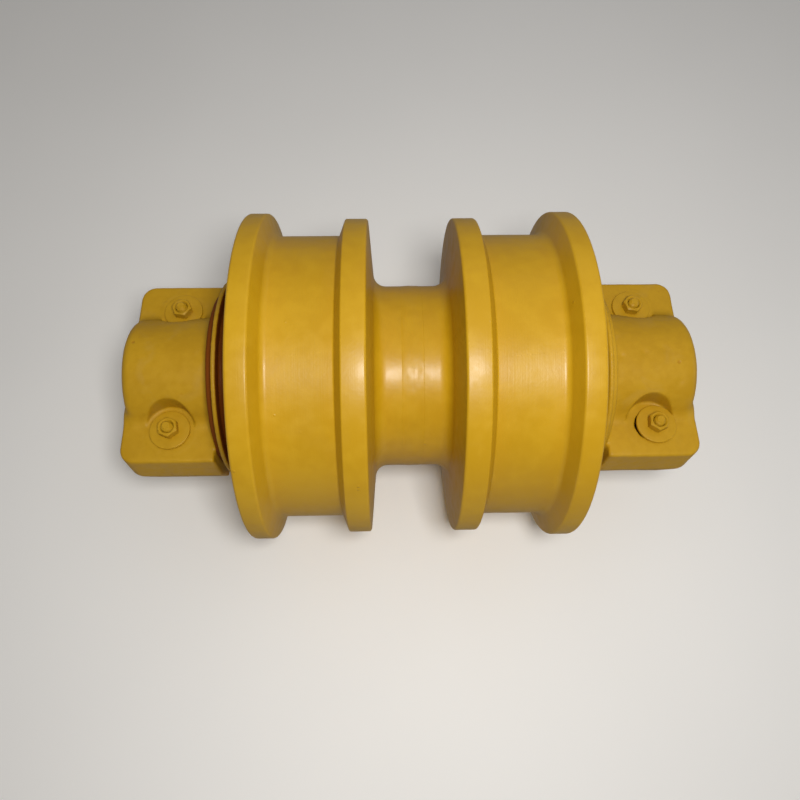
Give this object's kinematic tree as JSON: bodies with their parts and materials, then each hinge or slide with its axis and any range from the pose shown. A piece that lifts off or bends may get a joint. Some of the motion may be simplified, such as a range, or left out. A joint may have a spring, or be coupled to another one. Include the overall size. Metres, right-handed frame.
{
  "type": "track roller",
  "caption": "Double-flange track roller: a welded flanged shell that turns on a fixed shaft with bushings and face seals, held by forged end collars with bolting lugs.",
  "frame": {"origin": "middle of the shaft, on its axis", "axes": "+Y along the shaft towards the right end, with the oil plug; +Z out of the nut side, away from the mounting faces; +X towards the front lugs"},
  "size_m": [0.242, 0.418, 0.242],
  "materials": {
    "roller_paint": "yellow enamel, semi-gloss",
    "collar_paint": "yellow enamel over a rough forging",
    "fastener_paint": "yellow enamel, painted over in place",
    "machined_steel": "ground",
    "bearing_bronze": "machined",
    "seal_rubber": "matt"
  },
  "bodies": {
    "axle_assembly": {"axle_shaft": "machined_steel", "oil_fill_plug": "machined_steel", "left_end_collar": "collar_paint", "left_static_seal_ring": "machined_steel", "left_static_toric_ring": "seal_rubber", "left_collar_o_ring": "seal_rubber", "left_lock_pin": "machined_steel", "right_end_collar": "collar_paint", "right_static_seal_ring": "machined_steel", "right_static_toric_ring": "seal_rubber", "right_collar_o_ring": "seal_rubber", "right_lock_pin": "machined_steel", "left_front_transit_bolt": "fastener_paint", "left_front_nut": "fastener_paint", "left_front_outer_washer": "fastener_paint", "left_front_inner_washer": "fastener_paint", "left_rear_transit_bolt": "fastener_paint", "left_rear_nut": "fastener_paint", "left_rear_outer_washer": "fastener_paint", "left_rear_inner_washer": "fastener_paint", "right_front_transit_bolt": "fastener_paint", "right_front_nut": "fastener_paint", "right_front_outer_washer": "fastener_paint", "right_front_inner_washer": "fastener_paint", "right_rear_transit_bolt": "fastener_paint", "right_rear_nut": "fastener_paint", "right_rear_outer_washer": "fastener_paint", "right_rear_inner_washer": "fastener_paint"},
    "roller_assembly": {"centre_weld_bead": "roller_paint", "left_shell_half": "roller_paint", "left_bushing": "bearing_bronze", "left_rotating_seal_ring": "machined_steel", "left_rotating_toric_ring": "seal_rubber", "right_shell_half": "roller_paint", "right_bushing": "bearing_bronze", "right_rotating_seal_ring": "machined_steel", "right_rotating_toric_ring": "seal_rubber"}
  },
  "joints": [
    {"name": "roller_spin", "type": "hinge", "parent": "axle_assembly", "child": "roller_assembly", "pos_m": [0, 0, 0], "axis": [0, 1, 0], "continuous": true}
  ]
}
